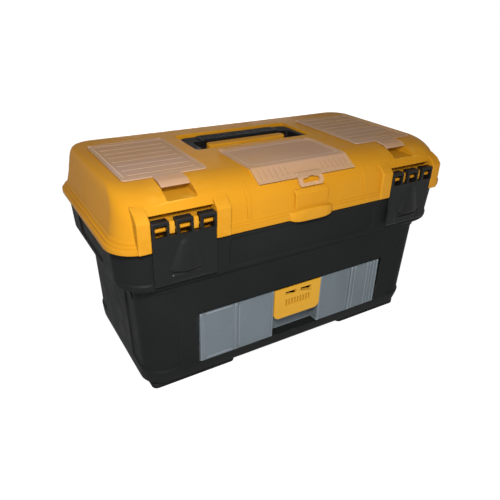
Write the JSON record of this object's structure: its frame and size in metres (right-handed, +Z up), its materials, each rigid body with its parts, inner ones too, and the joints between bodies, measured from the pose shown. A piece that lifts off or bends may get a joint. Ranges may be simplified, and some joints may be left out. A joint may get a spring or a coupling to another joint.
{
  "type": "toolbox",
  "caption": "Portable plastic toolbox with a hinged lid, clear lidded bins and a folding handle in the lid, front latches, a clear front drawer and a lift-out tray.",
  "frame": {"origin": "middle of the base, on the plane the feet stand on", "axes": "+X to the right along the length, +Y to the back with the hinges, +Z up"},
  "size_m": [0.53, 0.281, 0.29],
  "materials": {
    "body_black": "moulded polypropylene with a fine satin grain",
    "lid_yellow": "moulded polypropylene, satin to gloss, warm orange-yellow",
    "pull_yellow": "moulded polypropylene, satin",
    "handle_black": "moulded polypropylene with a fine grain",
    "latch_black": "moulded polypropylene, satin",
    "tray_grey": "moulded polypropylene with a fine grain",
    "clear_cover": "frosted clear polypropylene",
    "clear_drawer": "frosted clear polypropylene",
    "pin_steel": "drawn wire"
  },
  "bodies": {
    "body": {"body_shell": "body_black", "lid_hinge_pin_left": "pin_steel", "lid_hinge_pin_right": "pin_steel"},
    "lid": {"lid_shell": "lid_yellow", "bin_divider_left": "clear_drawer", "bin_divider_right": "clear_drawer"},
    "handle": {"carry_handle": "handle_black"},
    "cover_left": {"cover_left": "clear_cover"},
    "cover_centre": {"cover_centre": "clear_cover"},
    "cover_right": {"cover_right": "clear_cover"},
    "latch_left": {"latch_left": "latch_black"},
    "latch_right": {"latch_right": "latch_black"},
    "drawer": {"parts_drawer": "clear_drawer", "drawer_pull": "pull_yellow", "drawer_divider_left": "clear_drawer", "drawer_divider_right": "clear_drawer"},
    "tray": {"lift_out_tray": "tray_grey", "tray_divider_left": "tray_grey", "tray_divider_right": "tray_grey"}
  },
  "joints": [
    {"name": "lid_hinge", "type": "hinge", "parent": "body", "child": "lid", "pos_m": [0, 0.1355, 0.223], "axis": [-1, 0, 0], "range_deg": [0, 100]},
    {"name": "handle_pivot", "type": "hinge", "parent": "lid", "child": "handle", "pos_m": [0, 0.016, 0.279], "axis": [1, 0, 0], "range_deg": [0, 90]},
    {"name": "cover_left_hinge", "type": "hinge", "parent": "lid", "child": "cover_left", "pos_m": [-0.1745, 0.082, 0.2875], "axis": [-1, 0, 0], "range_deg": [0, 100]},
    {"name": "cover_centre_hinge", "type": "hinge", "parent": "lid", "child": "cover_centre", "pos_m": [0, -0.013, 0.2875], "axis": [-1, 0, 0], "range_deg": [0, 100]},
    {"name": "cover_right_hinge", "type": "hinge", "parent": "lid", "child": "cover_right", "pos_m": [0.1745, 0.082, 0.2875], "axis": [-1, 0, 0], "range_deg": [0, 100]},
    {"name": "latch_left_hinge", "type": "hinge", "parent": "lid", "child": "latch_left", "pos_m": [-0.18, -0.126, 0.247], "axis": [-1, 0, 0], "range_deg": [0, 105]},
    {"name": "latch_right_hinge", "type": "hinge", "parent": "lid", "child": "latch_right", "pos_m": [0.18, -0.126, 0.247], "axis": [-1, 0, 0], "range_deg": [0, 105]},
    {"name": "drawer_slide", "type": "slide", "parent": "body", "child": "drawer", "axis": [0, -1, 0], "range_m": [0, 0.165]},
    {"name": "tray_lift", "type": "slide", "parent": "body", "child": "tray", "axis": [0, 0, 1], "range_m": [0, 0.02]}
  ]
}
